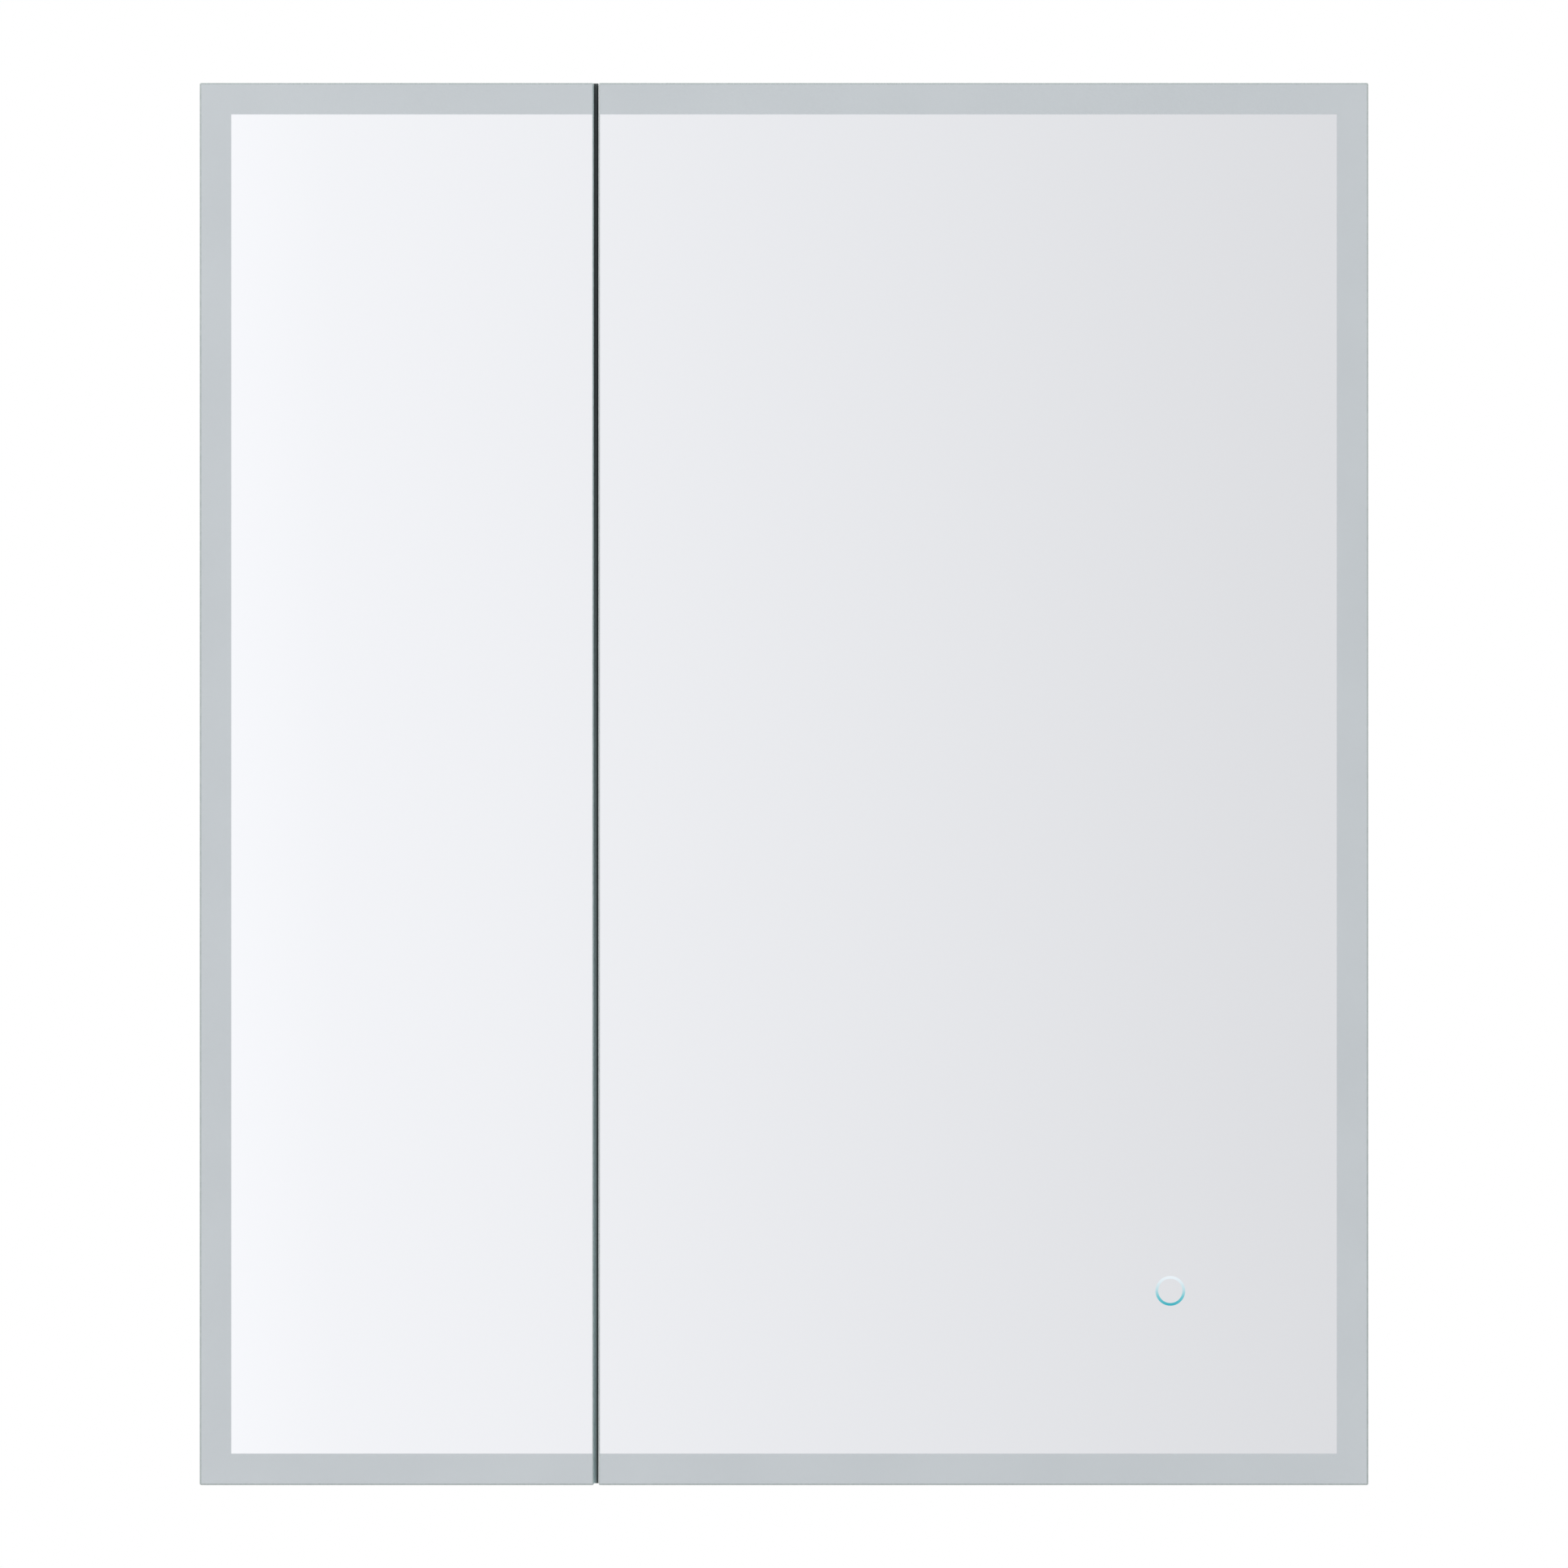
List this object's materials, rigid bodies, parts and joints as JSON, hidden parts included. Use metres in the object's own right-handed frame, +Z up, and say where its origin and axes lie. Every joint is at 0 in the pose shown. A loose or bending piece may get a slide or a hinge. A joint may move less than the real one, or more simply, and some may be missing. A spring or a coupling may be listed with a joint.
{
  "type": "medicine cabinet with mirror",
  "caption": "Wall-hung bathroom medicine cabinet with a narrow and a wide frameless mirror door, a frosted lit border, a touch ring, glass shelves and concealed hinges.",
  "frame": {"origin": "centre of the back panel's rear face, on the wall", "axes": "+X to the right seen from the front, +Y into the wall, +Z up; the doors face -Y"},
  "size_m": [0.762, 0.1335, 0.9144],
  "materials": {
    "mirror": "polished",
    "frosted_border": "etched back, lit from behind, matt grey when off",
    "glass_edge": "ground and polished edge",
    "shelf_glass": "clear, polished edges",
    "body_aluminium": "satin anodised",
    "back_sheet": "mill finish sheet",
    "frame_aluminium": "satin anodised, brushed lengthwise",
    "bracket_aluminium": "satin anodised",
    "hinge_steel": "bright nickel plate",
    "zinc": "nickel-plated zinc die casting",
    "led_board": "white solder mask",
    "light_guide": "opal acrylic",
    "heater_film": "amber polyimide film",
    "white_plastic": "fine-textured moulding",
    "grey_plastic": "fine-textured moulding",
    "bumper_rubber": "clear soft pad",
    "lead_sheath": "flexible sheath",
    "touch_ring": "lit ring, white to cyan"
  },
  "bodies": {
    "cabinet": {"left_side_panel": "body_aluminium", "right_side_panel": "body_aluminium", "top_panel": "body_aluminium", "bottom_panel": "body_aluminium", "back_panel": "back_sheet", "back_mirror": "mirror", "driver_cover": "white_plastic", "led_driver": "grey_plastic", "supply_plug": "grey_plastic", "upper_door_bumper": "bumper_rubber", "lower_door_bumper": "bumper_rubber", "left_hinge_arm_upper": "hinge_steel", "left_hinge_plate_upper": "zinc", "left_hinge_arm_lower": "hinge_steel", "left_hinge_plate_lower": "zinc", "left_door_lead": "lead_sheath", "right_hinge_arm_upper": "hinge_steel", "right_hinge_plate_upper": "zinc", "right_hinge_arm_middle": "hinge_steel", "right_hinge_plate_middle": "zinc", "right_hinge_arm_lower": "hinge_steel", "right_hinge_plate_lower": "zinc", "right_door_lead": "lead_sheath"},
    "left_door": {"left_front_mirror": "mirror", "left_inner_mirror": "mirror", "left_hinge_stile": "frame_aluminium", "left_meeting_stile": "frame_aluminium", "left_top_rail": "frame_aluminium", "left_bottom_rail": "frame_aluminium", "left_led_strip": "led_board", "left_light_guide": "light_guide", "left_hinge_cup_upper": "zinc", "left_hinge_pin_upper": "hinge_steel", "left_hinge_cup_lower": "zinc", "left_hinge_pin_lower": "hinge_steel"},
    "right_door": {"right_front_mirror": "mirror", "right_inner_mirror": "mirror", "right_hinge_stile": "frame_aluminium", "right_meeting_stile": "frame_aluminium", "right_top_rail": "frame_aluminium", "right_bottom_rail": "frame_aluminium", "right_led_strip": "led_board", "right_light_guide": "light_guide", "right_hinge_cup_upper": "zinc", "right_hinge_pin_upper": "hinge_steel", "right_hinge_cup_middle": "zinc", "right_hinge_pin_middle": "hinge_steel", "right_hinge_cup_lower": "zinc", "right_hinge_pin_lower": "hinge_steel", "right_touch_sensor": "white_plastic", "right_defogger_pad": "heater_film"},
    "upper_shelf": {"upper_shelf_glass": "shelf_glass", "upper_shelf_left_bracket": "bracket_aluminium", "upper_shelf_right_bracket": "bracket_aluminium"},
    "middle_shelf": {"middle_shelf_glass": "shelf_glass", "middle_shelf_left_bracket": "bracket_aluminium", "middle_shelf_right_bracket": "bracket_aluminium"},
    "lower_shelf": {"lower_shelf_glass": "shelf_glass", "lower_shelf_left_bracket": "bracket_aluminium", "lower_shelf_right_bracket": "bracket_aluminium"}
  },
  "joints": [
    {"name": "left_door_swing", "type": "hinge", "parent": "cabinet", "child": "left_door", "pos_m": [-0.3735, -0.118, 0], "axis": [0, 0, -1], "range_deg": [0, 105], "deforming": ["left_door_lead"]},
    {"name": "right_door_swing", "type": "hinge", "parent": "cabinet", "child": "right_door", "pos_m": [0.3735, -0.118, 0], "axis": [0, 0, 1], "range_deg": [0, 105], "deforming": ["right_door_lead"]},
    {"name": "upper_shelf_height", "type": "slide", "parent": "cabinet", "child": "upper_shelf", "axis": [0, 0, 1], "range_m": [-0.06, 0.06]},
    {"name": "middle_shelf_height", "type": "slide", "parent": "cabinet", "child": "middle_shelf", "axis": [0, 0, 1], "range_m": [-0.06, 0.06]},
    {"name": "lower_shelf_height", "type": "slide", "parent": "cabinet", "child": "lower_shelf", "axis": [0, 0, 1], "range_m": [-0.06, 0.06]}
  ]
}
